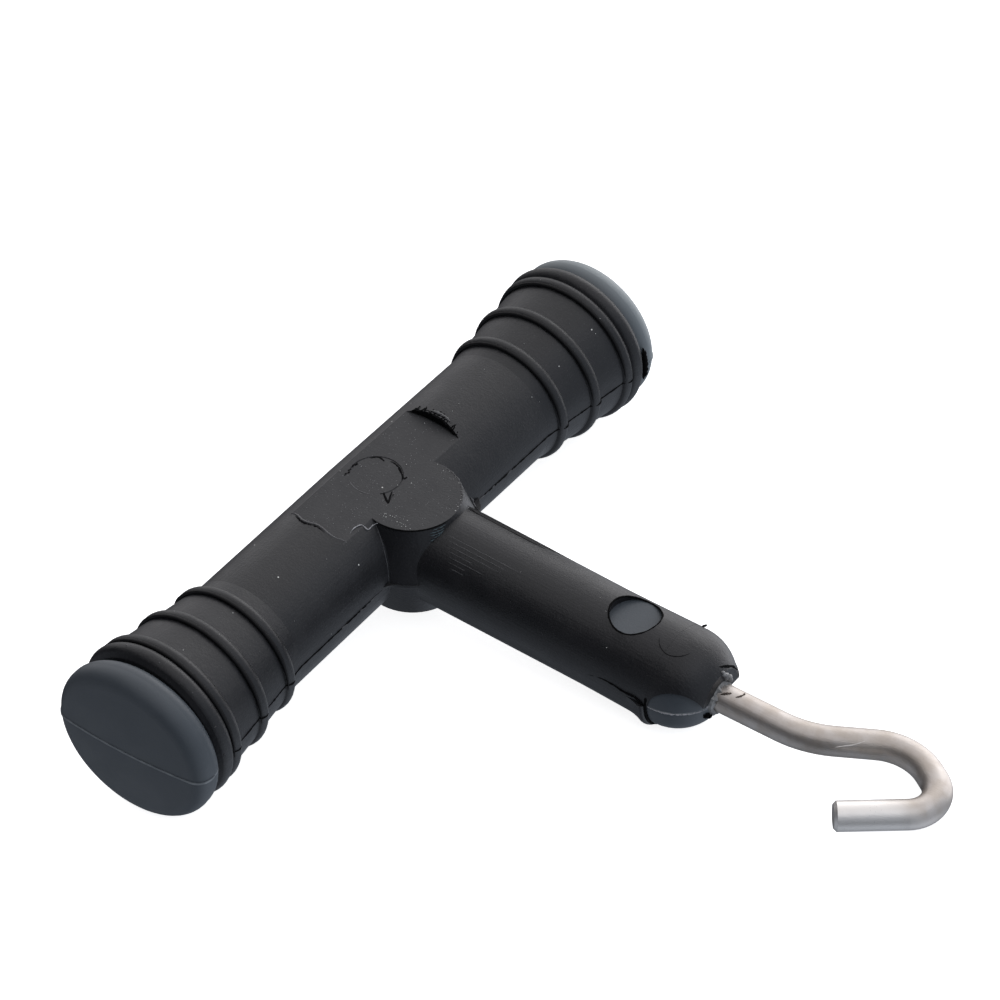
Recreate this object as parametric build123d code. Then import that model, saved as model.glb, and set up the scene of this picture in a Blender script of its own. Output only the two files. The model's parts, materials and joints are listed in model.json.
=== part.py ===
from build123d import *
import os

# T-handle hook puller: a bent steel hook insert-moulded into a hard T-shaped core, which carries
# one soft overmoulded grip. Millimetres throughout.
#
# Every shape is built about the crossing of the bar and stem centre lines: X along the stem
# towards the hook, Y along the bar, Z across the mould's parting plane, which is z = 0.
# At the end each piece is shifted so that the origin is the centre of the whole tool's box.

# Bar and its ribbed, flared ends, measured from the bar's middle
bar_centre_y = -0.4         # the bar's middle is a little to one side of the stem
bar_bow = 0.4               # each half leans this many degrees towards the hook
bar_radius = 6.77
bar_core_radius = 4.6
lip_y = 35.3                # where the soft grip ends and the hard end cap begins
lip_crest_y = 34.3
lip_crest_radius = 8.92
lip_corner_y = 34.95
lip_corner_radius = 8.6
lip_edge_radius = 8.1       # foot of the groove between the grip and the cap
flare_start_y = 20.6        # the plain bar ends here and the flare begins
flare_end_y = 33.7
flare_end_radius = 8.45
first_rib_y = 22.75         # crest of the innermost rib
rib_pitch = 4.93
rib_half_width = 0.72
rib_count = 3
rib_rise = 0.46             # crest above the flare's straight side

# Hard end caps, measured from the bar's middle: the one on the +Y side is a little smaller
cap_near_foot_y = 35.72     # the near cap stands a little clear of the grip's lip
cap_near_radius = 8.9
cap_near_widest_y = 37.2
cap_near_face_y = 39.55
cap_far_radius = 8.5
cap_far_widest_y = 36.3
cap_far_face_y = 38.45
cap_crown_drop = 0.4
cap_root_radius = 7.4       # spigot that reaches in behind the grip's lip
cap_root_length = 0.6
cap_near_tilt = 2.6         # the near cap's face is this many degrees out of square
cap_edge_round = 1.5
cap_side_belly = 0.12       # how far the cap's side is hollowed below its widest radius
cap_ridge_height = 0.06     # parting line that stands up across each cap
cap_ridge_width = 0.26

# Stem
stem_root_radius = 5.37
stem_waist_radius = 5.2
stem_waist_x = 28.5
stem_end_radius = 5.34
stem_end_x = 36.9
stem_core_radius = 4.3

# Hub where the stem meets the bar: a round boss drafted both ways from the parting plane
hub_x = 4.55
hub_face_radius = 5.2
hub_seam_radius = 7.3
hub_face_z = 5.85
hub_web_thickness = 0.3
hub_web_round = 2.4

# Round-ended flat across the bar, level with the hub's face, on the top and on the underside
flat_radius = 9.95

# Gate witness: a broken ring scored into the flat, with a small nick beside it
witness_radius = 2.75
witness_groove = 0.16
nick_x = 3.49               # point of the V
nick_y = -2.41
nick_length = 1.35
nick_turns = (16, 59)       # its two strokes, in degrees from +Y

# Round window in the stem's top, down to a flat pad on the core
window_x = 31.8
window_y = 0.3
window_radius = 2.65
window_floor_z = 4.3

# Stem tip
nose_x = 37.2               # centre of the hard nose
nose_radius = 5.2
nose_face_x = 42.15         # the tip is cut off square here, round the wire
nose_under_hood_radius = 4.45
hood_x = 37.8               # centre of the soft hood over the upper half of the nose
hood_radius = 5.34
lip_bulge_start_x = 34.2
lip_bulge_x = 36.2
lip_bulge_radius = 5.66
arch_x = 39.75              # arched cut-out in the hood's side that bares the nose
arch_radius = 2.55
hood_fin_radius = 5.5
hood_fin_thickness = 0.28

# Steel hook, bent from one round wire in the parting plane
wire_radius = 1.5
anchor_length = 8.0
anchor_bend_radius = 4.0
exit_run_start_x = 38.0
exit_bend_radius = 60.0
exit_angle = 1.7
exit_run = 9.25
first_bend_radius = 11.1
first_bend_angle = 28.2
middle_run = 4.0
shoulder_bend_radius = 5.9
shoulder_bend_angle = -62.4
crown_run = 1.0
return_bend_radius = 3.1
return_bend_angle = -109.3
return_run = 7.1
wire_end_chamfer = 0.3


def half_space(upper):
    """A large block that fills the space above or below the parting plane."""
    size = 200
    return Pos(0, 0, size / 2 if upper else -size / 2) * Box(size, size, size)


def flare_radius(y):
    """Radius of the flare's straight side, between the plain bar and the end lip."""
    along = (y - flare_start_y) / (flare_end_y - flare_start_y)
    return bar_radius + (flare_end_radius - bar_radius) * along


def ribbed_half_grip():
    """One half of the bar grip: a plain tube, a flare with rounded ribs, and the end lip.

    It leans with the bar's bow and is mitred at the bar's middle.
    """
    mitre_reach = 1.0
    with BuildSketch() as section:
        with BuildLine():
            Line((0, -mitre_reach), (bar_radius, -mitre_reach))
            Line((bar_radius, -mitre_reach), (bar_radius, flare_start_y))
            last = (bar_radius, flare_start_y)
            for index in range(rib_count):
                crest_y = first_rib_y + rib_pitch * index
                foot = (flare_radius(crest_y - rib_half_width), crest_y - rib_half_width)
                crest = (flare_radius(crest_y) + rib_rise, crest_y)
                heel = (flare_radius(crest_y + rib_half_width), crest_y + rib_half_width)
                Line(last, foot)
                ThreePointArc(foot, crest, heel)
                last = heel
            corner = (lip_corner_radius, lip_corner_y)
            ThreePointArc(last, (lip_crest_radius, lip_crest_y), corner)
            Line(corner, (lip_edge_radius, lip_y))
            Line((lip_edge_radius, lip_y), (0, lip_y))
            Line((0, lip_y), (0, -mitre_reach))
        make_face()
    leaning = Rot(0, 0, -bar_bow) * revolve(section.sketch, Axis.Y)
    size = 200
    return leaning & (Pos(0, size / 2, 0) * Box(size, size, size))


def stem_outside():
    """Soft skin of the stem: a slight waist, straight drafts either side of it."""
    with BuildSketch() as section:
        with BuildLine():
            Polyline(
                (0, 0),
                (0, stem_root_radius),
                (stem_waist_x, stem_waist_radius),
                (stem_end_x, stem_end_radius),
                (stem_end_x, 0),
                close=True,
            )
        make_face()
    return revolve(section.sketch, Axis.X)


def hub_outside():
    """Double-drafted boss, widest at the parting plane."""
    half = Pos(hub_x, 0, hub_face_z / 2) * Cone(hub_seam_radius, hub_face_radius, hub_face_z)
    return half + mirror(half, Plane.XY)


def hub_web():
    """Thin moulded web in the corners between the bar and the hub, on the parting plane."""
    bar_half_length = 13
    with BuildSketch() as outline:
        Rectangle(2 * bar_radius - 0.2, 2 * bar_half_length)
        with Locations((hub_x, 0)):
            Circle(hub_seam_radius)
        corners = [v for v in outline.vertices() if abs(v.X - bar_radius) < 0.5 and abs(v.Y) < 10]
        fillet(corners, hub_web_round)
    return Pos(0, 0, -hub_web_thickness / 2) * extrude(outline.sketch, hub_web_thickness)


def flat_cut():
    """Disc of material removed above the flat."""
    depth = 2
    return Pos(0, 0, hub_face_z + depth / 2) * Cylinder(flat_radius, depth)


def witness_marks():
    """Broken ring groove and a V-shaped nick, scored into the flat's surface."""
    ring = Pos(0, 0, hub_face_z) * Torus(witness_radius, witness_groove / 2)
    worn_side = Pos(-0.6, -2.2, hub_face_z) * Rot(0, 0, 35) * Box(4.6, 3.4, 1)
    marks = [ring - worn_side]
    groove = Pos(0, nick_length / 2, 0) * Box(witness_groove, nick_length, witness_groove)
    for turn in nick_turns:
        marks.append(Pos(nick_x, nick_y, hub_face_z) * Rot(0, 0, turn) * groove)
    return marks


def ball(x, radius):
    """Sphere on the stem's axis, its poles along the axis too."""
    return Pos(x, 0, 0) * Rot(0, 90, 0) * Sphere(radius)


def hood():
    """Soft hood over the upper half of the nose: a sleeve that runs out into a dome."""
    sleeve_end = (hood_x, hood_radius)
    dome_mid = (hood_x + hood_radius * 0.6, hood_radius * 0.8)
    dome_tip = (hood_x + hood_radius, 0)
    with BuildSketch() as section:
        with BuildLine():
            Line((stem_waist_x, 0), (stem_waist_x, stem_waist_radius))
            Line((stem_waist_x, stem_waist_radius), sleeve_end)
            ThreePointArc(sleeve_end, dome_mid, dome_tip)
            Line(dome_tip, (stem_waist_x, 0))
        make_face()
    return revolve(section.sketch, Axis.X) & half_space(True)


def past_nose_face():
    """Everything in front of the tip's square end."""
    size = 20
    return Pos(nose_face_x + size / 2, 0, 0) * Box(size, size, size)


def arch_cutter():
    """Round bar across the hood that leaves an arch on its -Y side."""
    reach = 10
    return Pos(arch_x, -reach / 2, 0) * Rot(90, 0, 0) * Cylinder(arch_radius, reach)


def hood_fin():
    """Flash along the hood's +Y edge, on the parting plane."""
    start_angle = 30
    end_angle = 66
    with BuildSketch() as outline:
        with BuildLine():
            outer = CenterArc((hood_x, 0), hood_fin_radius, start_angle, end_angle - start_angle)
            Line(outer @ 1, (hood_x, 0))
            Line((hood_x, 0), outer @ 0)
        make_face()
    return extrude(outline.sketch, hood_fin_thickness)


def lower_lip():
    """Rolled lip where the soft skin stops on the lower half of the stem."""
    foot = (lip_bulge_start_x, stem_end_radius - 0.05)
    with BuildSketch() as section:
        with BuildLine():
            Line((lip_bulge_start_x, 0), foot)
            flare = (lip_bulge_start_x + 1.15, stem_end_radius + 0.06)
            ThreePointArc(foot, flare, (lip_bulge_x, lip_bulge_radius))
            roll = (lip_bulge_x + 0.55, lip_bulge_radius - 0.09)
            ThreePointArc((lip_bulge_x, lip_bulge_radius), roll, (stem_end_x, lip_bulge_radius - 0.4))
            Line((stem_end_x, lip_bulge_radius - 0.4), (stem_end_x, 0))
            Line((stem_end_x, 0), (lip_bulge_start_x, 0))
        make_face()
    return revolve(section.sketch, Axis.X) & half_space(False)


def cap_section(foot_y, radius, widest_y, face_y):
    """Half of a crowned cap's outline, in the parting plane at the +Y end of the core."""
    crown_edge = (radius - cap_edge_round, face_y - cap_crown_drop)
    crown_mid = (crown_edge[0] / 2, face_y - cap_crown_drop / 4)
    side_mid = (radius - cap_side_belly, (foot_y + widest_y) / 2)
    root_y = lip_y - cap_root_length
    with BuildSketch() as section:
        with BuildLine():
            ThreePointArc((0, face_y), crown_mid, crown_edge)
            RadiusArc(crown_edge, (radius, widest_y), cap_edge_round * 1.15)
            ThreePointArc((radius, widest_y), side_mid, (lip_edge_radius, foot_y))
            Line((lip_edge_radius, foot_y), (cap_root_radius, foot_y))
            Line((cap_root_radius, foot_y), (cap_root_radius, root_y))
            Line((cap_root_radius, root_y), (0, root_y))
            Line((0, root_y), (0, face_y))
        make_face()
    return section.sketch


def cap_ridge(foot_y, radius, widest_y, face_y):
    """Thin plate on the parting plane, a little larger than the cap: its edge is the parting line."""
    half = cap_section(foot_y, radius + cap_ridge_height, widest_y, face_y + cap_ridge_height)
    outline = half + mirror(half, Plane.YZ)
    size = 4 * radius
    beyond_widest = Pos(0, widest_y + size / 2, 0) * Box(size, size, size)
    return (Pos(0, 0, -cap_ridge_width / 2) * extrude(outline, cap_ridge_width)) & beyond_widest


def ridged_cap(foot_y, radius, widest_y, face_y):
    cap = revolve(cap_section(foot_y, radius, widest_y, face_y), Axis.Y)
    return cap + cap_ridge(foot_y, radius, widest_y, face_y)


def nose():
    """Hard nose: full size where it is bare, smaller where the hood covers it."""
    full = ball(nose_x, nose_radius)
    behind = Pos(stem_end_x - 10, 0, 0) * Box(20, 20, 20)
    bare_lower = (full & half_space(False)) - behind
    bare_arch = full & arch_cutter() & half_space(True)
    covered = ball(nose_x, nose_under_hood_radius)
    return bare_lower + bare_arch + covered - past_nose_face()


def hook_path():
    """Centre line of the wire: hidden anchor leg, straight run, then the hook's bends."""
    anchor = Line((0, anchor_bend_radius + anchor_length), (0, anchor_bend_radius))
    corner = JernArc(anchor @ 1, anchor % 1, anchor_bend_radius, 90)
    shank = Line(corner @ 1, (exit_run_start_x, 0))
    edges = [anchor, corner, shank]
    bends = [
        (exit_bend_radius, exit_angle, exit_run),
        (first_bend_radius, first_bend_angle, middle_run),
        (shoulder_bend_radius, shoulder_bend_angle, crown_run),
        (return_bend_radius, return_bend_angle, return_run),
    ]
    for radius, angle, run in bends:
        bend = JernArc(edges[-1] @ 1, edges[-1] % 1, radius, angle)
        straight = Line(bend @ 1, bend @ 1 + (bend % 1) * run)
        edges += [bend, straight]
    return Wire(edges)


def make_hook_wire():
    path = hook_path()
    section = Plane(origin=path @ 0, z_dir=path % 0) * Circle(wire_radius)
    wire = sweep(section, path=path)
    free_end = wire.faces().sort_by_distance(path @ 1)[0]
    return chamfer(free_end.edges(), wire_end_chamfer)


def core_solids():
    """The solids that make up the hard core, before the wire's channel is taken out of them."""
    far_cap = Rot(0, 0, -bar_bow) * ridged_cap(lip_y, cap_far_radius, cap_far_widest_y, cap_far_face_y)
    square_cap = ridged_cap(cap_near_foot_y, cap_near_radius, cap_near_widest_y, cap_near_face_y)
    tilted_cap = Pos(0, lip_y, 0) * Rot(0, 0, -cap_near_tilt) * Pos(0, -lip_y, 0) * square_cap
    near_cap = mirror(Rot(0, 0, -bar_bow) * tilted_cap, Plane.XZ)
    bar = Rot(90, 0, 0) * Cylinder(bar_core_radius, 2 * lip_y)
    bar_solids = [Pos(0, bar_centre_y, 0) * solid for solid in (bar, far_cap, near_cap)]
    stem = Pos(nose_x / 2, 0, 0) * Rot(0, 90, 0) * Cylinder(stem_core_radius, nose_x)
    pad = Pos(window_x, window_y, window_floor_z / 2) * Cylinder(window_radius, window_floor_z)
    return bar_solids + [stem, pad, nose()]


def make_core(solids, wire):
    core = solids[0]
    for solid in solids[1:]:
        core = core + solid
    return core - wire


def make_grip(core_parts, wire):
    half = ribbed_half_grip()
    bar = Pos(0, bar_centre_y, 0) * (half + mirror(half, Plane.XZ))
    grip = bar + stem_outside() + hub_outside() + hub_web()
    cut = flat_cut()
    grip = grip - cut - mirror(cut, Plane.XY)
    grip = grip + hood() + hood_fin() + lower_lip()
    grip = grip - (arch_cutter() & half_space(True)) - past_nose_face()
    window = Pos(window_x, window_y, window_floor_z + 5) * Cylinder(window_radius, 10)
    for cutter in [window] + core_parts + [wire] + witness_marks():
        grip = grip - cutter
    return grip


wire = make_hook_wire()
core_parts = core_solids()
core = make_core(core_parts, wire)
grip = make_grip(core_parts, wire)

whole = Compound([wire, core, grip]).bounding_box()
to_centre = Pos(-whole.center().X, -whole.center().Y, 0)

os.makedirs("parts", exist_ok=True)
pieces = {"hook_wire": wire, "hard_core": core, "soft_grip": grip}
for name, shape in pieces.items():
    moved = to_centre * shape
    export_step(moved, f"parts/{name}.step")
    box = moved.bounding_box()
    print(name, "volume", round(moved.volume, 1), "solids", len(moved.solids()))
    print("   from", [round(v, 3) for v in box.min], "to", [round(v, 3) for v in box.max])
print("crossing at", [round(v, 4) for v in to_centre.position])
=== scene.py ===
"""Looks of the T-handle hook puller: materials, moulding details, studio and camera.

Points on the tool are given in millimetres from the crossing of its bar and stem centre lines,
X along the stem to the hook, Y along the bar, Z up from the parting plane. at() turns them into
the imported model's frame, in metres.
"""
import json
from math import asin, cos, pi, radians, sin, sqrt
from random import Random

import bpy
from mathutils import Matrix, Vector
from mathutils.bvhtree import BVHTree


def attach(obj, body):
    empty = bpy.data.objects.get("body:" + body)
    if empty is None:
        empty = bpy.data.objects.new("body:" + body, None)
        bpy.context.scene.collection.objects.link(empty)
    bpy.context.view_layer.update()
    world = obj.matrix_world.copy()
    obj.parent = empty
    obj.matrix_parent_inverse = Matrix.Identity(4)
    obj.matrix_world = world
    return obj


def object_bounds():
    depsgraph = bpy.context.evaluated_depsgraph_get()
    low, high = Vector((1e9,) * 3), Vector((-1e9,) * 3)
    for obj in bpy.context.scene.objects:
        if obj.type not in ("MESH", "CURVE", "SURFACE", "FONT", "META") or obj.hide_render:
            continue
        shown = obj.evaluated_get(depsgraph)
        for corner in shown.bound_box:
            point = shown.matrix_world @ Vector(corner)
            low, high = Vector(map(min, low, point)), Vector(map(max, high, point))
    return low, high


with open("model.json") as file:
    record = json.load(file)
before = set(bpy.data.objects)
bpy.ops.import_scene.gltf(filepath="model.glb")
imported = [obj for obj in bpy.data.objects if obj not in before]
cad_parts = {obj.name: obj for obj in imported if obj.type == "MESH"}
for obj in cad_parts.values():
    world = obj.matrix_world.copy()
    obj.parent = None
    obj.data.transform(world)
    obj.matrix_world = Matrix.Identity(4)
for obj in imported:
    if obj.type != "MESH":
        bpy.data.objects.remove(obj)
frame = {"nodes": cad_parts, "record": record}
cad_low, cad_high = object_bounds()
nodes = frame["nodes"]
mounts = {mount["name"]: mount for mount in frame["record"]["mounts"]}

MM = 0.001
HUB_FROM_CROSSING = 4.55
HUB_TOP = Vector(mounts["hub_top"]["pos_m"])
FLAT_Z = HUB_TOP.z / MM
STEM_RADIUS = 5.27
BAR_RADIUS = 6.77
BAR_MIDDLE_Y = -0.4
FLARE_START_Y = 20.6
FLARE_END_Y = 33.7
FLARE_END_RADIUS = 8.45
LIP_RADIUS = 8.92
RIB_FIRST_Y = 22.75
RIB_PITCH = 4.93
RIB_HALF_WIDTH = 0.72
RIB_RISE = 0.46
RIB_COUNT = 3
SEAM_REACH = 34.4
BAR_BOW = radians(0.4)
FLAT_DISC_RADIUS = 9.95
WITNESS_RADIUS = 2.75
HUB_RADIUS = 5.2
LOWER_LIP_X = 36.97
NOSE_X = 37.2
NOSE_RADIUS = 5.21
NOSE_END_X = 41.95
HOOD_RADIUS = 5.34
HOOD_SHOULDER_X = 37.8
EJECTOR_RADIUS = 1.9
EXIT_X = 42.1
WIRE_RADIUS = 1.5
WINDOW_X = 31.8
WINDOW_Y = 0.3
WINDOW_RADIUS = 2.65
ENDS = ((1, "far"), (-1, "near"))


def at(x, y, z):
    """A point given in millimetres from the crossing, in the model's frame in metres."""
    return Vector((HUB_TOP.x + (x - HUB_FROM_CROSSING) * MM, HUB_TOP.y + y * MM, z * MM))


def skin_tree(name):
    """Search tree of a sub-part's surface."""
    mesh = nodes[name].data
    return BVHTree.FromPolygons([v.co for v in mesh.vertices], [tuple(p.vertices) for p in mesh.polygons])


skins = {name: skin_tree(name) for name in ("soft_grip", "hard_core", "hook_wire")}


def on_skin(points, name="soft_grip", lift=0.0):
    """The nearest points on a sub-part's surface, raised by lift; all in millimetres from the crossing."""
    crossing = at(0, 0, 0)
    laid = []
    for point in points:
        place, normal, _, _ = skins[name].find_nearest(at(*point))
        laid.append((place - crossing) / MM + normal * lift)
    return laid


# ---------------------------------------------------------------- mesh helpers

def add_piece(name, vertices, faces, material, smooth=True):
    """One visible piece, from vertices in the model's frame."""
    mesh = bpy.data.meshes.new(name)
    mesh.from_pydata([tuple(v) for v in vertices], [], faces)
    mesh.validate()
    mesh.update()
    for polygon in mesh.polygons:
        polygon.use_smooth = smooth
    mesh.materials.append(material)
    piece = bpy.data.objects.new(name, mesh)
    bpy.context.scene.collection.objects.link(piece)
    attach(piece, "root")


def curve_points(points, per_span):
    """Catmull-Rom curve through the given points."""
    points = [Vector(p) for p in points]
    ends = [2 * points[0] - points[1]] + points + [2 * points[-1] - points[-2]]
    out = []
    for i in range(1, len(ends) - 2):
        p0, p1, p2, p3 = ends[i - 1:i + 3]
        for k in range(per_span):
            t = k / per_span
            out.append(0.5 * (2 * p1 + (p2 - p0) * t + (2 * p0 - 5 * p1 + 4 * p2 - p3) * t * t
                              + (3 * p1 - p0 - 3 * p2 + p3) * t * t * t))
    out.append(points[-1])
    return out


def loft_faces(rings, sides, closed=False):
    """Faces between rings of vertices, which join up in a loop when closed and are capped otherwise."""
    faces = []
    for i in range(rings if closed else rings - 1):
        here = i * sides
        after = (i + 1) % rings * sides
        for k in range(sides):
            beside = (k + 1) % sides
            faces.append((here + k, here + beside, after + beside, after + k))
    if not closed:
        faces.append(tuple(range(sides - 1, -1, -1)))
        faces.append(tuple((rings - 1) * sides + k for k in range(sides)))
    return faces


def tube(points, radii, up, flatness, sides=8):
    """Vertices and faces of a capped tube round points; flatness squeezes it along up."""
    vertices = []
    last = len(points) - 1
    for i, centre in enumerate(points):
        tangent = (points[min(i + 1, last)] - points[max(i - 1, 0)]).normalized()
        side = tangent.cross(up).normalized()
        rise = side.cross(tangent).normalized()
        for k in range(sides):
            angle = 2 * pi * k / sides
            offset = side * cos(angle) + rise * sin(angle) * flatness
            vertices.append(centre + offset * radii[i])
    return vertices, loft_faces(len(points), sides)


def bead(name, points, radius, material, up=(0, 0, 1), flatness=1.0, wander=0.0, per_span=6,
         taper=True, seed=1):
    """A thin bead, ridge or dark line along a route in millimetres, thinner at its ends if it tapers."""
    rng = Random(seed)
    route = curve_points(points, per_span)
    last = len(route) - 1
    radii = []
    for i, point in enumerate(route):
        thinning = min(1.0, 4.0 * min(i, last - i) / last + 0.25) if taper else 1.0
        radii.append(radius * thinning * (1 + wander * rng.uniform(-1, 1)))
        shake = Vector([rng.uniform(-1, 1) for _ in range(3)]) * radius * wander * 0.6
        route[i] = point + shake
    vertices, faces = tube(route, radii, Vector(up), flatness)
    add_piece(name, [at(*v) for v in vertices], faces, material)


def plate(name, outline, low, high, material):
    """A flat plate parallel to the parting plane: an outline between two heights."""
    count = len(outline)
    vertices = [at(x, y, low) for x, y in outline] + [at(x, y, high) for x, y in outline]
    faces = [tuple(range(count)), tuple(range(2 * count - 1, count - 1, -1))]
    for k in range(count):
        after = (k + 1) % count
        faces.append((after, k, k + count, after + count))
    add_piece(name, vertices, faces, material, smooth=False)


# ---------------------------------------------------------------- material helpers

class Nodes:
    """A short way to write a node tree."""

    def __init__(self, tree):
        self.tree = tree
        tree.nodes.clear()

    def add(self, kind, settings=None, **inputs):
        node = self.tree.nodes.new(kind)
        for key, value in (settings or {}).items():
            setattr(node, key, value)
        for key, value in inputs.items():
            socket = node.inputs[key.replace("_", " ")]
            self.feed(socket, value)
        return node

    def feed(self, socket, value):
        if isinstance(value, bpy.types.NodeSocket):
            self.tree.links.new(value, socket)
        else:
            socket.default_value = value

    def math(self, operation, a, b=0.0, clamp=False):
        node = self.tree.nodes.new("ShaderNodeMath")
        node.operation = operation
        node.use_clamp = clamp
        self.feed(node.inputs[0], a)
        self.feed(node.inputs[1], b)
        return node.outputs[0]

    def ramp(self, value, low, high, out_low=0.0, out_high=1.0, smooth=True):
        node = self.tree.nodes.new("ShaderNodeMapRange")
        node.interpolation_type = "SMOOTHSTEP" if smooth else "LINEAR"
        node.clamp = True
        self.feed(node.inputs["Value"], value)
        node.inputs["From Min"].default_value = low
        node.inputs["From Max"].default_value = high
        node.inputs["To Min"].default_value = out_low
        node.inputs["To Max"].default_value = out_high
        return node.outputs["Result"]

    def mix(self, factor, a, b):
        node = self.tree.nodes.new("ShaderNodeMix")
        node.data_type = "RGBA"
        self.feed(node.inputs["Factor"], factor)
        self.feed(node.inputs["A"], a)
        self.feed(node.inputs["B"], b)
        return node.outputs["Result"]

    def noise(self, coords, scale, detail=3.0, roughness=0.55, distortion=0.0):
        node = self.add("ShaderNodeTexNoise", Vector=coords, Scale=scale, Detail=detail,
                        Roughness=roughness, Distortion=distortion)
        return node.outputs["Fac"]

    def stretched(self, coords, x, y, z):
        node = self.add("ShaderNodeMapping", Vector=coords, Scale=(x, y, z))
        return node.outputs["Vector"]


def new_material(name):
    material = bpy.data.materials.new(name)
    material.use_nodes = True
    return material, Nodes(material.node_tree)


def crossing_coords(nodes):
    """Object coordinates in millimetres from the crossing."""
    coords = nodes.add("ShaderNodeTexCoord").outputs["Object"]
    shift = nodes.add("ShaderNodeVectorMath", {"operation": "SUBTRACT"})
    nodes.feed(shift.inputs[0], coords)
    shift.inputs[1].default_value = at(0, 0, 0)
    scale = nodes.add("ShaderNodeVectorMath", {"operation": "SCALE"}, Scale=1 / MM)
    nodes.feed(scale.inputs[0], shift.outputs[0])
    return scale.outputs[0]


def split_xyz(nodes, vector):
    """The three coordinates of a vector."""
    split = nodes.add("ShaderNodeSeparateXYZ", Vector=vector)
    return split.outputs["X"], split.outputs["Y"], split.outputs["Z"]


def specks(nodes, mm, per_mm, size, share):
    """Mask of tiny dust specks: one small dot in a share of random cells."""
    cells = nodes.add("ShaderNodeTexVoronoi", Vector=mm, Scale=per_mm, Randomness=1.0)
    dot = nodes.ramp(cells.outputs["Distance"], size * 0.6, size, 1.0, 0.0)
    pick = nodes.add("ShaderNodeSeparateColor", Color=cells.outputs["Color"]).outputs["Red"]
    return nodes.math("MULTIPLY", dot, nodes.math("GREATER_THAN", pick, 1 - share))


def bump_of(nodes, height, distance, strength, below=None):
    """Bump of a height field, in metres, on top of the normal below."""
    node = nodes.add("ShaderNodeBump", Height=height, Distance=distance, Strength=strength)
    if below is not None:
        nodes.feed(node.inputs["Normal"], below)
    return node.outputs["Normal"]


def surface(nodes, **inputs):
    """The shader that ends a material."""
    shader = nodes.add("ShaderNodeBsdfPrincipled", **inputs)
    output = nodes.add("ShaderNodeOutputMaterial")
    nodes.tree.links.new(shader.outputs["BSDF"], output.inputs["Surface"])


def grip_material():
    """Soft black overmould: satin, mottled, matt and speckled on the flats, with dust on it."""
    material, n = new_material("soft_grip_black")
    mm = crossing_coords(n)
    x, y, z = split_xyz(n, mm)
    cloud = n.noise(mm, 0.35, 4.0)
    grain = n.noise(mm, 3.8, 3.0, 0.7)
    height = n.math("ABSOLUTE", z)
    flat = n.math("MULTIPLY", n.ramp(height, FLAT_Z - 0.06, FLAT_Z - 0.02),
                  n.ramp(n.math("ABSOLUTE", y), FLAT_DISC_RADIUS - 0.2, FLAT_DISC_RADIUS - 0.15, 1.0, 0.0))
    flat = n.math("MULTIPLY", flat, n.ramp(height, FLAT_Z + 0.02, FLAT_Z + 0.06, 1.0, 0.0))
    sparkle = specks(n, mm, 4.5, 0.16, 0.35)
    dust = specks(n, mm, 0.55, 0.05, 0.30)
    along_stem = n.noise(n.stretched(mm, 0.04, 5.0, 5.0), 1.0, 3.0)
    along_bar = n.noise(n.stretched(mm, 4.0, 0.05, 4.0), 1.0, 3.0)
    on_stem = n.ramp(x, 7.0, 8.0)
    brushed = n.math("ADD", n.math("MULTIPLY", along_stem, on_stem),
                     n.math("MULTIPLY", along_bar, n.math("SUBTRACT", 1.0, on_stem)))
    base = n.mix(cloud, (0.0085, 0.0088, 0.0105, 1), (0.0175, 0.0175, 0.0195, 1))
    base = n.mix(n.math("MULTIPLY", flat, 0.22), base, (0.075, 0.075, 0.078, 1))
    glint = n.math("MULTIPLY", sparkle, n.math("ADD", n.math("MULTIPLY", flat, 0.7), 0.2))
    base = n.mix(glint, base, (0.26, 0.26, 0.27, 1))
    base = n.mix(dust, base, (0.75, 0.75, 0.72, 1))
    rough = n.math("ADD", n.ramp(cloud, 0.3, 0.7, 0.36, 0.44), n.math("MULTIPLY", flat, 0.16))
    rough = n.math("ADD", rough, n.math("MULTIPLY", n.math("SUBTRACT", brushed, 0.5), 0.12))
    normal = bump_of(n, grain, 0.00004, 0.8)
    normal = bump_of(n, brushed, 0.00004, 0.45, normal)
    normal = bump_of(n, n.noise(mm, 0.8, 2.0), 0.00012, 0.25, normal)
    surface(n, Base_Color=base, Roughness=rough, Normal=normal, IOR=1.43)
    return material


def core_material():
    """Hard dark blue-grey plastic, paler along the parting line as a painted highlight, and paler on the far
    cap as painted light.
    """
    material, n = new_material("hard_core_grey")
    mm = crossing_coords(n)
    _, y, z = split_xyz(n, mm)
    cloud = n.noise(mm, 0.3, 4.0)
    grain = n.noise(mm, 4.0, 3.0, 0.7)
    # painted highlight: a paler band, in patches, along the crease of the parting line
    line = n.ramp(n.math("ABSOLUTE", z), 0.1, 0.16, 1.0, 0.0)
    patchy = n.ramp(n.noise(mm, 0.9, 2.0), 0.3, 0.7, 0.45, 1.0)
    # painted light: the far cap is made paler than the rest of the core
    painted_light_far_cap = n.ramp(y, 34.0, 37.0, 0.0, 0.8)
    painted_parting_highlight = n.math("MULTIPLY", n.math("MULTIPLY", line, patchy), 0.5)
    base = n.mix(cloud, (0.050, 0.059, 0.069, 1), (0.070, 0.081, 0.093, 1))
    base = n.mix(painted_light_far_cap, base, (0.27, 0.30, 0.31, 1))
    base = n.mix(painted_parting_highlight, base, (0.36, 0.38, 0.39, 1))
    base = n.mix(specks(n, mm, 0.6, 0.04, 0.2), base, (0.6, 0.6, 0.6, 1))
    rough = n.ramp(cloud, 0.3, 0.7, 0.40, 0.50)
    normal = bump_of(n, grain, 0.00002, 0.6)
    normal = bump_of(n, n.noise(mm, 0.5, 2.0), 0.0001, 0.2, normal)
    surface(n, Base_Color=base, Roughness=rough, Normal=normal, IOR=1.43)
    return material


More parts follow.
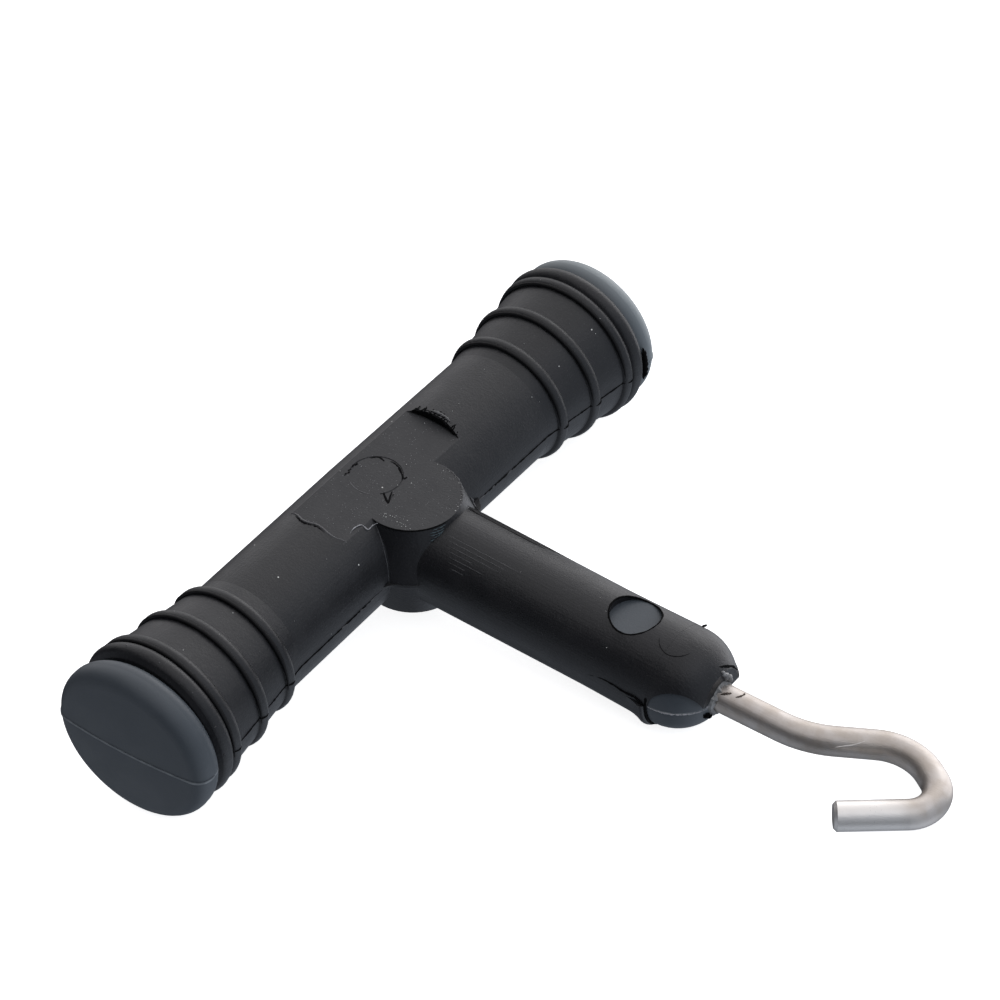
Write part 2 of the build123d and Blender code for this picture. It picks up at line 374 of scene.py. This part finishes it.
def wire_material():
    """Drawn stainless wire: fine scratches, dark pits, warmer in patches, paler on the free leg as painted
    light.
    """
    material, n = new_material("hook_wire_steel")
    mm = crossing_coords(n)
    x, y, _ = split_xyz(n, mm)
    drawn = n.noise(n.stretched(mm, 0.25, 5.0, 9.0), 1.0, 4.0)
    patches = n.noise(mm, 0.5, 4.0)
    pits = n.noise(mm, 5.0, 3.0)
    base = n.mix(n.ramp(patches, 0.35, 0.7), (0.55, 0.51, 0.48, 1), (0.47, 0.42, 0.375, 1))
    # painted light: the free leg is made paler
    painted_light_leg = n.math("MULTIPLY", n.ramp(y, -1.2, -4.0), n.ramp(x, 50.0, 56.0))
    base = n.mix(painted_light_leg, base, (0.82, 0.79, 0.76, 1))
    base = n.mix(n.ramp(pits, 0.66, 0.74, 0.0, 0.35), base, (0.22, 0.19, 0.17, 1))
    rough = n.math("ADD", n.ramp(patches, 0.3, 0.7, 0.33, 0.38), n.math("MULTIPLY", drawn, 0.08))
    normal = bump_of(n, drawn, 0.00003, 0.6)
    normal = bump_of(n, pits, 0.00002, 0.3, normal)
    surface(n, Base_Color=base, Metallic=0.78, Roughness=rough, Normal=normal)
    return material


def plain_material(name, colour, roughness, grain=0.3, metallic=0.0, shine=0.5):
    """Small marks and flash: one colour, clouded with a darker shade of it."""
    material, n = new_material(name)
    mm = crossing_coords(n)
    shade = tuple(c * 0.6 for c in colour)
    base = n.mix(n.noise(mm, 2.0, 3.0), shade + (1,), colour + (1,))
    normal = bump_of(n, n.noise(mm, 6.0, 2.0), 0.00003, grain)
    surface(n, Base_Color=base, Roughness=roughness, Normal=normal, Metallic=metallic,
            Specular_IOR_Level=shine)
    return material


black = grip_material()
main_materials = {"soft_grip": black, "hard_core": core_material(), "hook_wire": wire_material()}
pale_flash = plain_material("pale_flash", (0.42, 0.42, 0.44), 0.45)
skin_flash = plain_material("skin_flash", (0.06, 0.06, 0.065), 0.42, grain=0.6)
clear_flash = plain_material("clear_flash", (0.26, 0.26, 0.26), 0.3, grain=0.8)
# near-black for real marks and seams, and for painted shade and shadow: the crack under the torn flap, the
# window's rim and the hood's edge
dark_mark_and_shade = plain_material("dark_mark_and_shade", (0.0025, 0.0025, 0.003), 0.85, shine=0.1)
# near-black for the ejector mark, and for painted shade beside the ribs and along the stem
black_mark_and_shade = plain_material("black_mark_and_shade", (0.005, 0.005, 0.006), 0.6, shine=0.2)
stain = plain_material("wire_stain", (0.16, 0.13, 0.11), 0.55, grain=0.5, metallic=0.6)
# painted bluish sheen, for the lines on the hub's wall
painted_blue_sheen = plain_material("painted_blue_sheen", (0.045, 0.075, 0.09), 0.35, grain=0.6)
bright_steel = plain_material("bright_steel", (0.9, 0.87, 0.84), 0.3, metallic=0.5)
dust_white = plain_material("dust_white", (0.75, 0.75, 0.72), 0.8)

for node_name, main_material in main_materials.items():
    for material_slot in nodes[node_name].material_slots:
        material_slot.material = main_material


# ---------------------------------------------------------------- moulding details, with painted shade and light

def bow_shift(y):
    """How far the bowed bar's axis stands towards the hook, at a distance y along it."""
    return abs(y - BAR_MIDDLE_Y) * BAR_BOW


def bar_surface_radius(y):
    """Radius of the grip at a distance along the bar from its middle."""
    y = abs(y)
    if y < FLARE_START_Y:
        return BAR_RADIUS
    widening = (FLARE_END_RADIUS - BAR_RADIUS) * (y - FLARE_START_Y) / (FLARE_END_Y - FLARE_START_Y)
    radius = BAR_RADIUS + widening
    for index in range(RIB_COUNT):
        reach = abs(y - RIB_FIRST_Y - RIB_PITCH * index) / RIB_HALF_WIDTH
        if reach < 1:
            radius += RIB_RISE * (1 - reach * reach)
    return min(radius, LIP_RADIUS - 0.03)


def bar_point(y, turn, lift=0.0):
    """Point on the bar's skin: y from the crossing, turn in radians from the top towards the hook."""
    radius = bar_surface_radius(y - BAR_MIDDLE_Y) + lift
    return bow_shift(y) + radius * sin(turn), y, radius * cos(turn)


def bar_top(x):
    """Height of the plain bar's surface at a distance x from its axis."""
    return sqrt(BAR_RADIUS ** 2 - x * x)


def edge_of_flat(x):
    """Half-length of the flat, which is a disc, at a distance x from the bar's axis."""
    return sqrt(FLAT_DISC_RADIUS ** 2 - x * x)


def hood_top(x, y):
    """Height of the hood's surface, which is domed past its shoulder."""
    past = max(x - HOOD_SHOULDER_X, 0)
    return sqrt(max(HOOD_RADIUS ** 2 - past ** 2 - y * y, 0))


def arc(centre_x, centre_y, radius, first, step, count):
    """Points of a circle, from the angle first on by equal steps, in degrees."""
    angles = [radians(first + step * k) for k in range(count)]
    return [(centre_x + radius * cos(a), centre_y + radius * sin(a)) for a in angles]


def seam_lines():
    """The grip's parting line along both sides of the bar, with thin flash on it beside the hub."""
    steps = 96
    for side, turn, start in (("front", pi / 2, 9.5), ("back", -pi / 2, 0.6)):
        for end, end_name in ENDS:
            reaches = [start + (SEAM_REACH - start) * i / steps for i in range(steps + 1)]
            route = [bar_point(BAR_MIDDLE_Y + end * reach, turn) for reach in reaches]
            bead(f"seam_{side}_{end_name}", route, 0.085, dark_mark_and_shade, per_span=1, wander=0.3,
                 taper=False, seed=3)
    for end, end_name in ENDS:
        reaches = (7.6, 8.6, 9.6, 10.8, 12.4, 14.2, 16.0)
        route = [bar_point(BAR_MIDDLE_Y + end * reach, pi / 2, 0.02) for reach in reaches]
        bead(f"seam_flash_{end_name}", route, 0.07, skin_flash, wander=0.3, seed=4)


def painted_rib_shades():
    """Painted shade: a dark strip on the near side of each rib, over the half of the bar that faces up."""
    from_rib = 0.56
    for end, end_name in ENDS:
        for index in range(RIB_COUNT):
            shade_y = BAR_MIDDLE_Y + end * (RIB_FIRST_Y + RIB_PITCH * index) - from_rib
            route = [bar_point(shade_y, radians(-95 + 10 * k)) for k in range(20)]
            # painted shade along the near foot of the rib
            bead(f"painted_rib_shade_{end_name}_{index + 1}", route, 0.23, black_mark_and_shade, up=(0, 1, 0),
                 per_span=3, wander=0.06, seed=150 + index)


def lip_marks():
    """A torn corner of the far lip at the parting line, and crumbs in the gap by the near cap."""
    tear = [bar_point(34.9, radians(turn)) for turn in (73, 80, 87, 94, 101)]
    bead("lip_tear", tear, 0.3, dark_mark_and_shade, up=(0, 1, 0), wander=0.2, seed=16)
    in_gap = [(-3.0, -34.6, 8.0), (1.2, -34.8, 8.6), (5.1, -34.9, 7.0), (7.8, -35.0, 4.2), (8.7, -35.0, 1.0)]
    for index, place in enumerate(on_skin(in_gap, lift=-0.12)):
        route = [place + Vector((0.02, d, 0)) for d in (-0.12, 0.0, 0.12)]
        bead(f"gap_crumb_{index + 1}", route, 0.13, skin_flash, per_span=4, wander=0.5,
             seed=140 + index)


def flat_end_marks():
    """The flat's near edge, rolled and wavy with a groove beside it, and a thread of flash by the hub."""
    rng = Random(11)
    half_width = 3.5
    steps = 14
    rolled = []
    groove = []
    for i in range(steps + 1):
        x = -half_width + 2 * half_width * i / steps
        wave = 0.16 * sin(1.9 * x + 0.6)
        rolled.append((x, -edge_of_flat(x) - 0.02 + wave, bar_top(x) - 0.02 + rng.uniform(-0.02, 0.03)))
        groove.append((x, -edge_of_flat(x) - 0.26 + wave, bar_top(x)))
    bead("flat_rolled_edge", rolled, 0.13, skin_flash, wander=0.2, seed=5, flatness=0.7)
    bead("flat_edge_groove", groove[2:11], 0.065, dark_mark_and_shade, wander=0.6, seed=15, flatness=0.6)
    thread = [(3.05, -8.1, FLAT_Z), (2.97, -7.3, FLAT_Z + 0.06), (3.3, -6.5, FLAT_Z + 0.06),
              (4.0, -6.45, FLAT_Z - 0.25), (4.05, -5.7, FLAT_Z - 0.2), (4.4, -5.3, FLAT_Z)]
    bead("flash_thread", thread, 0.055, pale_flash, per_span=3, wander=0.5, seed=6)


def crack_shadow_sheet(rng):
    """Painted shadow: a black sheet with a jagged edge in the crack under the flap, up the far wall of the
    flat and a little over the bar.
    """
    start_x = -2.75
    width = 6.1
    steps = 34
    vertices = []
    for i in range(steps + 1):
        x = start_x + width * i / steps
        swell = sin(pi * (i / steps) ** 1.5) ** 0.8
        wall_y = edge_of_flat(x)
        top = bar_top(x)
        jag = rng.uniform(-0.09, 0.09)
        low_jag = rng.uniform(-0.05, 0.05)
        section = [(wall_y - 0.02, FLAT_Z + 0.02),
                   (wall_y - 0.06 - 0.18 * swell + low_jag, FLAT_Z + 0.35 * (top - FLAT_Z)),
                   (wall_y - 0.2 * swell + jag, top - 0.06),
                   (wall_y + 0.06 + 0.2 * swell + jag, top + 0.02),
                   (wall_y + 0.22, top - 0.12)]
        vertices += [at(x, y, z) for y, z in section]
    faces = loft_faces(steps + 1, len(section))
    # painted shadow of the crack under the torn flap
    add_piece("crack_shadow_sheet", vertices, faces, dark_mark_and_shade, smooth=False)


def torn_frays(rng):
    """Dark fibres that lie over the bar from the crack's edge."""
    start_x = -2.6
    width = 5.7
    count = 13
    for index in range(count):
        x = start_x + width * index / (count - 1) + rng.uniform(-0.15, 0.15)
        wall_y = edge_of_flat(x)
        lean = rng.uniform(-0.35, 0.5)
        length = rng.uniform(0.35, 0.8)
        far_x = x + lean
        route = [(x, wall_y - 0.1, bar_top(x) + 0.02),
                 (x + lean * 0.5, wall_y + length * 0.5, bar_top(x) + 0.05),
                 (far_x, wall_y + length, bar_top(far_x) + 0.015)]
        bead(f"torn_fray_{index + 1}", route, 0.07, dark_mark_and_shade, per_span=4, wander=0.4,
             seed=40 + index, flatness=0.5)


def torn_edge():
    """The far end of the flat: the painted shadow of a crack, its frays and a flap of skin that lies over it.
    """
    rng = Random(21)
    crack_shadow_sheet(rng)
    torn_frays(rng)
    flap = [(-0.9, edge_of_flat(0.9) + 0.32, 6.74), (0.0, edge_of_flat(0) + 0.36, 6.82),
            (0.9, edge_of_flat(0.9) + 0.42, 6.75), (1.7, edge_of_flat(1.7) + 0.4, 6.58)]
    bead("torn_flap", flap, 0.17, skin_flash, wander=0.25, seed=23, flatness=0.45)


def witness_ring():
    """Black broken arcs of the gate's witness ring, crumbs beside it, and its worn near side."""
    z = FLAT_Z
    arcs = {
        "ring_arc_far": [(-2.05, 1.66, z), (-1.7, 2.05, z), (-1.3, 2.3, z), (-0.9, 2.25, z), (-0.5, 2.18, z)],
        "ring_arc_right": [(-0.2, 2.5, z), (0.45, 2.52, z), (1.07, 2.34, z), (1.75, 1.9, z), (2.3, 1.45, z),
                           (2.55, 1.2, z)],
        "ring_hook": [(2.3, 1.45, z), (2.6, 1.36, z), (2.7, 1.7, z)],
        "ring_scribble_1": [(-2.73, 0.42, z), (-2.55, 0.1, z), (-2.75, -0.2, z), (-2.5, -0.5, z)],
        "ring_scribble_2": [(-2.5, -0.75, z), (-2.72, -1.0, z), (-2.45, -1.3, z), (-2.6, -1.6, z),
                            (-2.5, -1.92, z)],
    }
    for index, (name, route) in enumerate(arcs.items()):
        bead(name, route, 0.1, dark_mark_and_shade, wander=0.45, seed=60 + index, flatness=0.35)
    worn = [(x, y, z) for x, y in arc(0, 0, WITNESS_RADIUS, 232, 7, 11)]
    bead("ring_worn_arc", worn, 0.055, skin_flash, per_span=2, wander=0.3, seed=66,
         flatness=0.4)


def nick():
    """The V nick beside the ring."""
    tip = (3.5, -2.52, FLAT_Z)
    left = [(2.14, -1.5, FLAT_Z), (2.8, -2.0, FLAT_Z), tip]
    right = [tip, (3.1, -1.7, FLAT_Z), (2.72, -0.8, FLAT_Z)]
    for name, route, radius, seed in (("nick_left", left, 0.13, 67), ("nick_right", right, 0.085, 68)):
        bead(name, route, radius, dark_mark_and_shade, per_span=4, wander=0.2, seed=seed, flatness=0.35)


def hub_rim():
    """The hub's sharp rim: in shadow on the near side, with pale flash on the far side."""
    shadow = [(x, y, FLAT_Z - 0.08) for x, y in arc(HUB_FROM_CROSSING, 0, HUB_RADIUS + 0.03, -97, 3.7, 25)]
    bead("hub_rim_shadow", shadow, 0.09, dark_mark_and_shade, per_span=2, wander=0.12, seed=70)
    bright = [(x, y, FLAT_Z - 0.03) for x, y in arc(HUB_FROM_CROSSING, 0, HUB_RADIUS - 0.07, -12, 6.1, 19)]
    bead("hub_rim_flash", bright, 0.06, skin_flash, per_span=4, wander=0.9, seed=71)


def stem_root():
    """A thick web in the far corner of hub and bar, with a pale streak on it and a dark hole by it."""
    web = [(6.5, 4.9), (6.6, 8.3), (7.2, 7.75), (7.75, 7.3), (8.0, 6.95), (8.2, 6.3), (8.8, 5.75),
           (9.9, 5.1), (8.5, 4.7)]
    plate("root_web", web, -0.45, 0.42, black)
    streak = [(6.66, 6.93, 1.34), (6.85, 7.0, 0.75), (7.15, 6.9, 0.5), (7.53, 6.75, 0.47)]
    bead("root_streak", streak, 0.14, skin_flash, wander=0.3, seed=73)
    hole = on_skin([(8.1, 5.6, 1.3), (8.55, 5.3, 1.6), (9.3, 4.6, 2.4)], lift=0.02)
    bead("root_hole", hole, 0.2, dark_mark_and_shade, wander=0.3, seed=74)


def stem_shade():
    """Dark bands along the stem beside the hub, on its side towards the far end."""
    for index, turn in enumerate((33, 38, 43, 48)):
        out = Vector((0, sin(radians(turn)), cos(radians(turn))))
        reaches = (9.0 + 0.3 * index, 11, 14, 17, 19 + index)
        shade = [Vector((x, 0, 0)) + out * STEM_RADIUS for x in reaches]
        bead(f"stem_shade_{index + 1}", on_skin(shade), 0.27, black_mark_and_shade, up=out,
             flatness=0.2, seed=75)


def hub_corner():
    """Thin pale flash down the corner where the hub's wall meets the bar."""
    corner = on_skin([(3.4, -5.06, 5.87), (4.38, -5.3, 5.16), (5.58, -6.09, 3.83), (6.41, -6.56, 2.17),
                      (6.77, -6.69, -0.06), (6.7, -6.75, -1.3)])
    bead("hub_corner_edge", corner, 0.055, skin_flash, wander=0.35, seed=76)


def drag_marks():
    """Fine lines that the mould dragged across the hub's wall, painted with a bluish sheen there, and along
    the stem.
    """
    rng = Random(77)
    for index in range(9):
        height = 5.5 - 0.3 * index
        first = -32 + rng.uniform(-3, 3)
        angles = [radians(a) for a in (first, first + 6, first + 12, first + 17)]
        route = [(HUB_FROM_CROSSING + HUB_RADIUS * cos(a), HUB_RADIUS * sin(a), height) for a in angles]
        # the hub's wall lines are drag marks and painted bluish sheen
        bead(f"wall_mark_{index + 1}", on_skin(route, lift=0.01), 0.075, painted_blue_sheen, wander=0.6,
             per_span=4, seed=120 + index, flatness=0.5)
    for index in range(7):
        turn = radians(20 + 5.2 * index)
        reach = 19.0 - 1.1 * index + rng.uniform(-1.5, 1.5)
        out = Vector((0, -sin(turn), cos(turn)))
        route = [Vector((x, 0, 0)) + out * STEM_RADIUS for x in (10.2 + 0.35 * index, 14.0, reach)]
        bead(f"stem_line_{index + 1}", on_skin(route), 0.04, skin_flash, wander=0.4,
             per_span=8, seed=130 + index, up=out, flatness=0.5)


def stem_marks():
    """The seam on the stem's near side by its tip, and painted shade round the rim of its round window."""
    seam = [(30.2, -5.21, 0.1), (31.6, -5.2, 0.5), (33.0, -5.24, 0.55), (34.6, -5.33, 0.42),
            (35.8, -5.35, 0.5), (36.7, -5.38, 0.1), (37.05, -5.35, -0.6)]
    bead("stem_seam", seam, 0.08, dark_mark_and_shade, wander=0.35, seed=80)
    rim = [(x, y, sqrt(STEM_RADIUS ** 2 - y * y) - 0.04)
           for x, y in arc(WINDOW_X, WINDOW_Y, WINDOW_RADIUS, 20, 10, 37)]
    # painted shade of the window's wall, as a dark ring at its edge
    bead("window_rim_shade", rim, 0.1, dark_mark_and_shade, per_span=2, wander=0.2, seed=79, taper=False)


def tip_marks():
    """Gap under the grip's lower lip, the nose's parting line, the hood's ejector mark and a spike on it."""
    gap = [(LOWER_LIP_X, y, z) for y, z in arc(0, 0, STEM_RADIUS, -191, 10.5, 17)]
    bead("lip_gap", gap, 0.16, dark_mark_and_shade, up=(1, 0, 0), wander=0.25, seed=81, taper=False)
    line = [(x, y, -0.05) for x, y in arc(NOSE_X, 0, NOSE_RADIUS, -97, 3.6, 24) if x < NOSE_END_X]
    bead("nose_seam", line, 0.07, pale_flash, per_span=3, wander=0.5, seed=82)
    circle = [(x, y, hood_top(x, y)) for x, y in arc(37.3, -0.3, EJECTOR_RADIUS, 205, 10.4, 14)]
    bead("ejector_mark", circle, 0.045, black_mark_and_shade, per_span=3, wander=0.2, seed=83)
    bead("hood_spike", [(37.1, 4.0, 3.35), (37.35, 4.1, 3.6), (37.6, 4.25, 3.8)], 0.13, black,
         per_span=4, wander=0.2, seed=84)


def exit_collar():
    """Ragged ring of clear flash round the wire where it leaves the nose."""
    rng = Random(90)
    steps = 40
    inner = WIRE_RADIUS - 0.05
    vertices = []
    for i in range(steps):
        angle = 2 * pi * i / steps
        reach = rng.uniform(0.0, 0.3)
        proud = rng.uniform(0.1, 0.5)
        section = [(inner, EXIT_X), (WIRE_RADIUS + 0.25 + reach, EXIT_X - 0.02),
                   (WIRE_RADIUS + 0.16 + reach * 0.7, EXIT_X + 0.08 + proud * 0.5),
                   (inner, EXIT_X + 0.1 + proud)]
        vertices += [at(x, radius * cos(angle), radius * sin(angle)) for radius, x in section]
    faces = loft_faces(steps, len(section), closed=True)
    add_piece("exit_collar", vertices, faces, clear_flash, smooth=False)


def collar_marks():
    """Flash and shadow on the nose beside the collar, and a painted shadow along the edge of the hood over
    it.
    """
    ridge = on_skin([(42.1, -1.3, 0.9), (42.1, -0.95, 1.6), (42.1, -0.7, 2.2), (42.1, -0.5, 2.7)],
                    "hard_core", lift=0.03)
    bead("collar_ridge", ridge, 0.11, pale_flash, wander=0.4, seed=91)
    drop = [(42.0, 0.2, 3.3), (42.2, 0.7, 2.5), (42.3, 1.2, 1.8), (42.4, 1.6, 1.0)]
    bead("collar_lobe", drop, 0.26, clear_flash, wander=0.5, seed=92)
    shadow = on_skin([(41.9, -2.3, -0.7), (42.1, -1.9, -1.1), (42.2, -1.5, -1.6)], "hard_core")
    bead("collar_shadow", shadow, 0.26, dark_mark_and_shade, wander=0.5, seed=93)
    bits = on_skin([(42.0, -2.3, 0.25), (42.15, -1.9, 0.3), (42.2, -1.6, 0.2)], "hard_core", lift=0.03)
    bead("collar_bits", bits, 0.1, pale_flash, wander=0.6, seed=94)
    edge = on_skin([(41.7, 0.4, 3.7), (41.8, 1.2, 3.1), (41.8, 2.1, 2.2), (41.9, 3.0, 1.1)])
    # painted shadow under the hood's edge
    bead("hood_edge_shadow", edge, 0.13, dark_mark_and_shade, wander=0.3, seed=97)


def wire_marks():
    """Tool marks on the wire: a crescent pinch and a smear by the exit, a bright scratch before the bend."""
    pinch = [(44.1, -0.3, 1.48), (44.4, 0.1, 1.52), (44.55, 0.5, 1.45), (44.4, 0.85, 1.28)]
    bead("wire_pinch", pinch, 0.1, stain, wander=0.4, seed=95)
    scratch = on_skin([(55.9, -1.0, 1.5), (56.1, -0.3, 1.6), (56.7, 1.1, 1.6), (57.2, 2.4, 1.5)], "hook_wire")
    bead("wire_scratch", scratch, 0.06, bright_steel, wander=0.3, seed=98, flatness=0.5)
    smear = [(42.6, -0.7, 1.33), (43.1, -0.4, 1.46), (43.5, -0.1, 1.51)]
    bead("wire_smear", smear, 0.1, stain, wander=0.6, seed=96)


def crumb(centre, size, rng):
    """Octahedron of dust, its corners at uneven distances."""
    points = [Vector(centre) + Vector(axis) * size * rng.uniform(0.6, 1.0)
              for axis in ((1, 0, 0), (-1, 0, 0), (0, 1, 0), (0, -1, 0), (0, 0, 1), (0, 0, -1))]
    faces = [(0, 2, 4), (2, 1, 4), (1, 3, 4), (3, 0, 4), (2, 0, 5), (1, 2, 5), (3, 1, 5), (0, 3, 5)]
    return points, faces


def dust_spots(rng):
    """Where crumbs lie: chosen ones on the flat, scattered ones on the hub, the bar and the stem."""
    z = FLAT_Z + 0.02
    rim_radius = 5.0
    spots = [(x, y, z) for x, y in ((-0.74, 9.06), (3.01, 8.59), (-3.1, 5.22), (-1.98, 0.18), (-1.24, 1.18),
                                    (1.5, 3.1), (5.05, 4.59), (3.58, 1.23), (2.63, 0.19), (2.8, -2.39),
                                    (-3.28, -1.65))]
    for turn in (8, 15, 27, 34, 41, 55, 66, 78, 96):
        angle = radians(turn)
        spots.append((HUB_FROM_CROSSING + rim_radius * cos(angle), rim_radius * sin(angle), z))
    for _ in range(26):
        x = rng.uniform(4.0, 8.0)
        y = rng.uniform(-4.4, -3.2)
        if sqrt((x - HUB_FROM_CROSSING) ** 2 + y ** 2) <= rim_radius:
            spots.append((x, y, z))
    for _ in range(16):
        y = rng.choice((-1, 1)) * rng.uniform(11, 33)
        spots.append(bar_point(y, rng.uniform(-0.6, 1.0), 0.01))
    for _ in range(9):
        turn = rng.uniform(-0.5, 0.9)
        x = rng.uniform(12, 40)
        spots.append((x, -STEM_RADIUS * sin(turn) * 0.99, STEM_RADIUS * cos(turn) * 0.99))
    return spots


def dust():
    """Pale crumbs on the flat, the hub's rim, the bar and along the stem."""
    rng = Random(7)
    vertices = []
    faces = []
    for spot in dust_spots(rng):
        points, sides = crumb(at(*spot), rng.uniform(0.035, 0.085) * MM, rng)
        faces += [tuple(k + len(vertices) for k in side) for side in sides]
        vertices += points
    add_piece("dust", vertices, faces, dust_white, smooth=False)


for make_detail in (seam_lines, painted_rib_shades, lip_marks, flat_end_marks, torn_edge, witness_ring, nick,
                    hub_rim, stem_root, stem_shade, hub_corner, drag_marks, stem_marks, tip_marks,
                    exit_collar, collar_marks, wire_marks, dust):
    make_detail()


# ---------------------------------------------------------------- studio

CAMERA_TARGET = at(8.577, 9.447, 0)
CAMERA_AZIMUTH = radians(36.52)
CAMERA_ELEVATION = radians(44.01)
CAMERA_DISTANCE = 391.17 * MM
CAMERA_LENS = 137.67
SENSOR_WIDTH = 36.0
FLOOR_HALF_SIZE = 1.6
FLOOR_GAP = 0.00002
LOBES = {
    # azimuth and elevation in degrees, cosines where the brightness starts and is full, its level
    "ceiling": (0, 90, 0.55, 0.92, 0.85),
    "window": (-28, 36, 0.30, 0.86, 1.08),
    "back": (4, 6, 0.72, 0.97, 1.9),
    "fill": (88, 25, 0.45, 0.95, 0.6),
    "table": (98, -38, 0.7, 0.97, 0.7),
    "near_table": (-150, -40, 0.6, 0.95, 0.4),
    "far_table": (25, -45, 0.5, 0.95, 0.4),
}
CHANNELS = {
    # share of the warm lobes, share of the cool lobes, light from everywhere
    "Red": (1.0, 0.9, 0.025),
    "Green": (0.99, 0.98, 0.027),
    "Blue": (1.01, 1.1, 0.033),
}


def make_camera():
    """Camera that looks at the target from the right of the near end, above the table."""
    level = cos(CAMERA_ELEVATION)
    back = Vector((sin(CAMERA_AZIMUTH) * level, -cos(CAMERA_AZIMUTH) * level, sin(CAMERA_ELEVATION)))
    data = bpy.data.cameras.new("camera")
    data.lens = CAMERA_LENS
    data.sensor_width = SENSOR_WIDTH
    data.clip_start = 0.01
    data.clip_end = 20
    camera = bpy.data.objects.new("camera", data)
    bpy.context.scene.collection.objects.link(camera)
    camera.location = CAMERA_TARGET + back * CAMERA_DISTANCE
    camera.rotation_mode = "QUATERNION"
    camera.rotation_quaternion = (-back).to_track_quat("-Z", "Y")
    bpy.context.scene.camera = camera


def make_floor():
    """White table that the flares and the hook rest on, so it slopes a little against the parting plane."""
    wire_radius = WIRE_RADIUS * MM
    hook_reach = cad_high.x - at(0, 0, 0).x - wire_radius
    flare_radius = cad_high.z
    tilt = asin((flare_radius - wire_radius) / hook_reach)
    normal = Vector((-sin(tilt), 0, cos(tilt)))
    centre = at(0, 0, 0) - normal * (flare_radius + FLOOR_GAP)
    along = Vector((cos(tilt), 0, sin(tilt))) * FLOOR_HALF_SIZE
    across = Vector((0, 1, 0)) * FLOOR_HALF_SIZE
    corners = [centre + along * a + across * b for a, b in ((-1, -1), (1, -1), (1, 1), (-1, 1))]
    mesh = bpy.data.meshes.new("floor")
    mesh.from_pydata([tuple(c) for c in corners], [], [(0, 1, 2, 3)])
    floor = bpy.data.objects.new("floor", mesh)
    bpy.context.scene.collection.objects.link(floor)
    material, n = new_material("floor_white")
    diffuse = n.add("ShaderNodeBsdfDiffuse", Color=(0.9, 0.9, 0.9, 1))
    glow = n.add("ShaderNodeEmission", Color=(1, 1, 1, 1), Strength=0.85)
    both = n.add("ShaderNodeAddShader")
    n.tree.links.new(diffuse.outputs[0], both.inputs[0])
    n.tree.links.new(glow.outputs[0], both.inputs[1])
    output = n.add("ShaderNodeOutputMaterial")
    n.tree.links.new(both.outputs[0], output.inputs["Surface"])
    mesh.materials.append(material)
    # the world's table lobes light the tool in the floor's place
    floor.visible_glossy = False
    floor.visible_diffuse = False


def area_light(name, location, target, size, power):
    """A square light that faces the target; size in metres, power in watts."""
    data = bpy.data.lights.new(name, "AREA")
    data.shape = "SQUARE"
    data.size = size
    data.energy = power
    light = bpy.data.objects.new(name, data)
    bpy.context.scene.collection.objects.link(light)
    light.location = location
    light.rotation_mode = "QUATERNION"
    light.rotation_quaternion = (target - location).to_track_quat("-Z", "Y")


def lobe(n, direction, azimuth, elevation, low, high, level):
    """Brightness that rises where a direction nears the given one; azimuth from +Y towards +X."""
    azimuth = radians(azimuth)
    elevation = radians(elevation)
    across = cos(elevation)
    dot = n.add("ShaderNodeVectorMath", {"operation": "DOT_PRODUCT"})
    n.feed(dot.inputs[0], direction)
    dot.inputs[1].default_value = (sin(azimuth) * across, cos(azimuth) * across, sin(elevation))
    return n.ramp(dot.outputs["Value"], low, high, 0.0, level)


def make_world():
    """Soft room light: a window and a bright back, a ceiling, a cool fill, white table all round."""
    world = bpy.data.worlds.new("studio")
    world.use_nodes = True
    n = Nodes(world.node_tree)
    direction = n.add("ShaderNodeTexCoord").outputs["Generated"]
    lobes = {name: lobe(n, direction, *shape) for name, shape in LOBES.items()}
    warm = n.math("MAXIMUM", n.math("MAXIMUM", lobes["ceiling"], lobes["window"]), lobes["back"])
    cool = n.math("ADD", n.math("MAXIMUM", lobes["fill"], lobes["table"]),
                  n.math("MAXIMUM", lobes["near_table"], lobes["far_table"]))
    both = n.add("ShaderNodeCombineColor")
    for socket, (warm_part, cool_part, least) in CHANNELS.items():
        total = n.math("ADD", n.math("MULTIPLY", warm, warm_part), n.math("MULTIPLY", cool, cool_part))
        n.feed(both.inputs[socket], n.math("ADD", total, least))
    background = n.add("ShaderNodeBackground", Color=both.outputs["Color"], Strength=1.0)
    seen = n.add("ShaderNodeBackground", Color=(1, 1, 1, 1), Strength=1.0)
    path = n.add("ShaderNodeLightPath")
    mix = n.add("ShaderNodeMixShader", Fac=path.outputs["Is Camera Ray"])
    n.tree.links.new(background.outputs[0], mix.inputs[1])
    n.tree.links.new(seen.outputs[0], mix.inputs[2])
    output = n.add("ShaderNodeOutputWorld")
    n.tree.links.new(mix.outputs[0], output.inputs["Surface"])
    bpy.context.scene.world = world


make_camera()
make_floor()
make_world()
middle = at(15, 0, 0)
area_light("window", middle + Vector((-0.12, 0.55, 0.28)), middle, size=0.45, power=0.5)
bpy.context.scene.view_settings.view_transform = "Standard"
